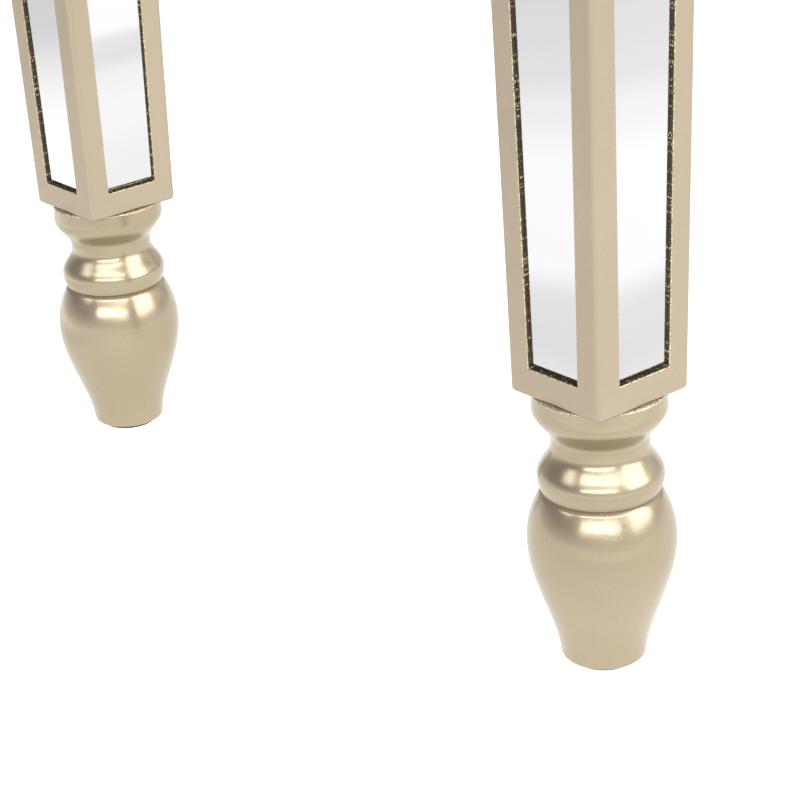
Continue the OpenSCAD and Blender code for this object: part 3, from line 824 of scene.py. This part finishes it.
def build_looking_mirror():
    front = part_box("mirror_frame")[0].y
    mesh = mesh_of("mirror_frame", lambda bm: sweep(bm, frame_profile(), front))
    moulding = add_piece("mirror_frame_piece", mesh, [GOLD], "mirror_frame", "gold_paint")
    smooth_by_angle(moulding, 32)

    glass_front, glass_back = (corner.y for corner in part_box("mirror_glass"))
    edge = FRAME_BORDER - RABBET

    def bevelled_glass(bm):
        layers = [(BEVEL_END, glass_front), (edge, glass_front + BEVEL_DROP), (edge, glass_back)]
        rings = [ring_at(bm, margin, y) for margin, y in layers]
        join_rings(bm, rings)
        bm.faces.new(rings[0])
        bm.faces.new(rings[-1])

    glass = add_piece(
        "mirror_glass_piece", mesh_of("mirror_glass", bevelled_glass), [LOOKING_GLASS], "mirror_glass",
        "looking_mirror",
    )
    glass.data.shade_flat()
    softened("mirror_backboard", FIBREBOARD, "fibreboard", 0.4 * MM)
    softened("mirror_stand", GOLD, "gold_paint", 2.2 * MM, segments=5)


def finish_cad_nodes():
    """The CAD nodes that stay as they are: turned posts, screws, clips, glides, knobs and washers."""
    finishes = {
        "left_mirror_post": GOLD, "right_mirror_post": GOLD, "floor_glides": GLIDE,
        "top_screws": STEEL, "stand_screws": STEEL, "backboard_clips": STEEL,
        "pivot_knobs": BRASS, "pivot_washers": WASHER,
    }
    for node, material in finishes.items():
        slots = NODES[node].data.materials
        if not slots:
            slots.append(material)
        for i in range(len(slots)):
            slots[i] = material


# ---------------------------------------------------------------- camera, floor and light

# The camera stands off the front left leg, looking down past it at the back left leg
CAMERA_DISTANCE = 0.8399
CAMERA_ABOVE_FOOT = 0.3636
CAMERA_AZIMUTH = math.radians(44.49)
CAMERA_YAW = math.radians(39.03)
CAMERA_PITCH = math.radians(23.53)
CAMERA_ROLL = math.radians(-3.20)
CAMERA_LENS = 102.45
SENSOR = 36.0


def build_camera():
    leg = centre("front_left_leg")
    data = bpy.data.cameras.new("camera")
    data.sensor_width = SENSOR
    data.lens = CAMERA_LENS
    data.clip_start = 0.05
    data.clip_end = 60
    forward = Vector((
        math.sin(CAMERA_YAW) * math.cos(CAMERA_PITCH),
        math.cos(CAMERA_YAW) * math.cos(CAMERA_PITCH),
        -math.sin(CAMERA_PITCH),
    ))
    level = Vector((math.cos(CAMERA_YAW), -math.sin(CAMERA_YAW), 0))
    up = level.cross(forward)
    c, s = math.cos(CAMERA_ROLL), math.sin(CAMERA_ROLL)
    axes = Matrix((c * level + s * up, c * up - s * level, -forward)).transposed()
    camera = bpy.data.objects.new("camera", data)
    camera.matrix_world = Matrix.Translation((
        leg.x - CAMERA_DISTANCE * math.sin(CAMERA_AZIMUTH),
        leg.y - CAMERA_DISTANCE * math.cos(CAMERA_AZIMUTH),
        FOOT_TOP + CAMERA_ABOVE_FOOT,
    )) @ axes.to_4x4()
    bpy.context.scene.collection.objects.link(camera)
    bpy.context.scene.camera = camera


# The floor is brightest in an oval ring round the table: half sizes of the oval, then the glow by distance
# from the middle, where 1 is on the oval
FLOOR_OVAL = (1.04, 0.68)
FLOOR_GLOW = (
    (0.36, 1.16), (0.50, 1.24), (0.60, 1.18), (0.67, 0.98), (0.72, 1.02), (0.78, 1.34), (0.96, 1.37),
    (1.10, 1.20), (1.21, 1.03), (1.34, 0.97), (1.60, 0.86), (1.90, 0.80), (2.40, 0.74),
)
# A pool of light on the floor behind the left side: its centre, its reach and its extra glow
FLOOR_POOL = Vector((-0.70, 0.66, 0))
POOL_REACH = 0.34
POOL_GLOW = 0.40


def build_floor():
    """A wide white floor that glows enough to stay white where the table shades it."""
    paint = Shader("floor", Roughness=0.9)
    mottle = paint.noise(3, 2.0)
    paint.colour(paint.mix(mottle, (0.145, 0.145, 0.148), (0.155, 0.155, 0.155)))
    paint.bsdf.inputs["Emission Strength"].default_value = 1.0
    length = paint.nodes.new("ShaderNodeVectorMath")
    length.operation = "LENGTH"
    paint.link(paint.stretched((1 / FLOOR_OVAL[0], 1 / FLOOR_OVAL[1], 0)), length.inputs[0])
    reach = FLOOR_GLOW[-1][0]
    ramp = paint.nodes.new("ShaderNodeValToRGB")
    ramp.color_ramp.interpolation = "EASE"
    paint.link(paint.math("DIVIDE", length.outputs["Value"], reach), ramp.inputs["Fac"])
    stops = ramp.color_ramp.elements
    while len(stops) < len(FLOOR_GLOW):
        stops.new(0.5)
    for stop, (distance, glow) in zip(stops, FLOOR_GLOW):
        stop.position = distance / reach
        stop.color = (glow, glow, glow, 1)
    away = paint.nodes.new("ShaderNodeVectorMath")
    away.operation = "DISTANCE"
    paint.link(paint.coords, away.inputs[0])
    away.inputs[1].default_value = FLOOR_POOL
    pool = paint.ranged(away.outputs["Value"], 0, POOL_REACH, POOL_GLOW, 0, smooth=True)
    paint.link(paint.math("ADD", ramp.outputs["Color"], pool), paint.bsdf.inputs["Emission Color"])
    bm = bmesh.new()
    bmesh.ops.create_circle(bm, cap_ends=True, segments=96, radius=30)
    mesh = bpy.data.meshes.new("floor")
    bm.to_mesh(mesh)
    bm.free()
    mesh.materials.append(paint.material)
    floor = bpy.data.objects.new("floor", mesh)
    bpy.context.scene.collection.objects.link(floor)


# How bright the studio's wall and ceiling are by height angle, on the camera's left and on its right
STUDIO_LEFT = ((0, 0.84), (6, 0.60), (14, 0.22), (40, 0.24), (90, 0.60))
STUDIO_RIGHT = ((0, 0.88), (6, 0.95), (18, 1.20), (40, 1.00), (90, 0.60))


def build_world():
    """A pale room, brighter above the horizon on the camera's right."""
    world = bpy.data.worlds.new("studio")
    world.use_nodes = True
    bpy.context.scene.world = world
    nodes, links = world.node_tree.nodes, world.node_tree.links
    coords = nodes.new("ShaderNodeTexCoord").outputs["Generated"]
    split = nodes.new("ShaderNodeSeparateXYZ")
    links.new(coords, split.inputs["Vector"])

    def wall(levels):
        ramp = nodes.new("ShaderNodeValToRGB")
        links.new(split.outputs["Z"], ramp.inputs["Fac"])
        stops = ramp.color_ramp.elements
        while len(stops) < len(levels):
            stops.new(0.5)
        for stop, (angle, level) in zip(stops, levels):
            stop.position = math.sin(math.radians(angle))
            stop.color = (level, level, level, 1)
        return ramp.outputs["Color"]

    sideways = nodes.new("ShaderNodeVectorMath")
    sideways.operation = "DOT_PRODUCT"
    sideways.inputs[1].default_value = (math.cos(CAMERA_YAW), -math.sin(CAMERA_YAW), 0)
    links.new(coords, sideways.inputs[0])
    share = nodes.new("ShaderNodeMapRange")
    share.inputs["From Min"].default_value = -1
    links.new(sideways.outputs["Value"], share.inputs["Value"])
    blend = nodes.new("ShaderNodeMix")
    blend.data_type = "RGBA"
    links.new(share.outputs["Result"], blend.inputs["Factor"])
    links.new(wall(STUDIO_LEFT), blend.inputs[6])
    links.new(wall(STUDIO_RIGHT), blend.inputs[7])
    links.new(blend.outputs[2], nodes["Background"].inputs["Color"])


LIGHT_DISTANCE = 6.0


def softbox(name, azimuth, elevation, width, height, radiance):
    """A rectangular area light, placed and sized by the angles at which the near foot sees it."""
    distance = LIGHT_DISTANCE
    a, e = math.radians(azimuth), math.radians(elevation)
    back = Vector((math.sin(a) * math.cos(e), -math.cos(a) * math.cos(e), math.sin(e)))
    data = bpy.data.lights.new(name, "AREA")
    data.shape = "RECTANGLE"
    data.size = 2 * distance * math.tan(math.radians(width / 2))
    data.size_y = 2 * distance * math.tan(math.radians(height / 2))
    data.energy = radiance * math.pi * data.size * data.size_y
    light = bpy.data.objects.new(name, data)
    light.location = centre("front_left_foot") + back * distance
    light.rotation_mode = "QUATERNION"
    light.rotation_quaternion = (-back).to_track_quat("-Z", "Y")
    bpy.context.scene.collection.objects.link(light)


# Azimuth from the camera's side, elevation, width and height of each light in degrees, then radiance
STUDIO_LIGHTS = {
    "lower_window": (-3, 22, 60, 9, 8.0),
    "upper_window": (-3, 46, 60, 9, 7.5),
    "left_window": (-68, 34, 20, 14, 3.4),
    "right_window": (72, 32, 44, 44, 3.6),
}


def build_lights():
    camera_side = -math.degrees(CAMERA_AZIMUTH)
    for name, (azimuth, elevation, width, height, radiance) in STUDIO_LIGHTS.items():
        softbox(name, camera_side + azimuth, elevation, width, height, radiance)


def build_all():
    build_camera()
    for side in SIDES:
        for end in ENDS:
            build_leg(side, end)
            build_foot(side, end)
    build_case()
    for which in ("left", "middle", "right"):
        build_drawer(which)
    build_knobs("left_knob_base", "left_knob_crystal")
    build_knobs("middle_knob_bases", "middle_knob_crystals")
    build_knobs("right_knob_base", "right_knob_crystal")
    build_looking_mirror()
    finish_cad_nodes()
    build_floor()
    build_world()
    build_lights()
    bpy.context.scene.view_settings.view_transform = "Standard"


build_all()
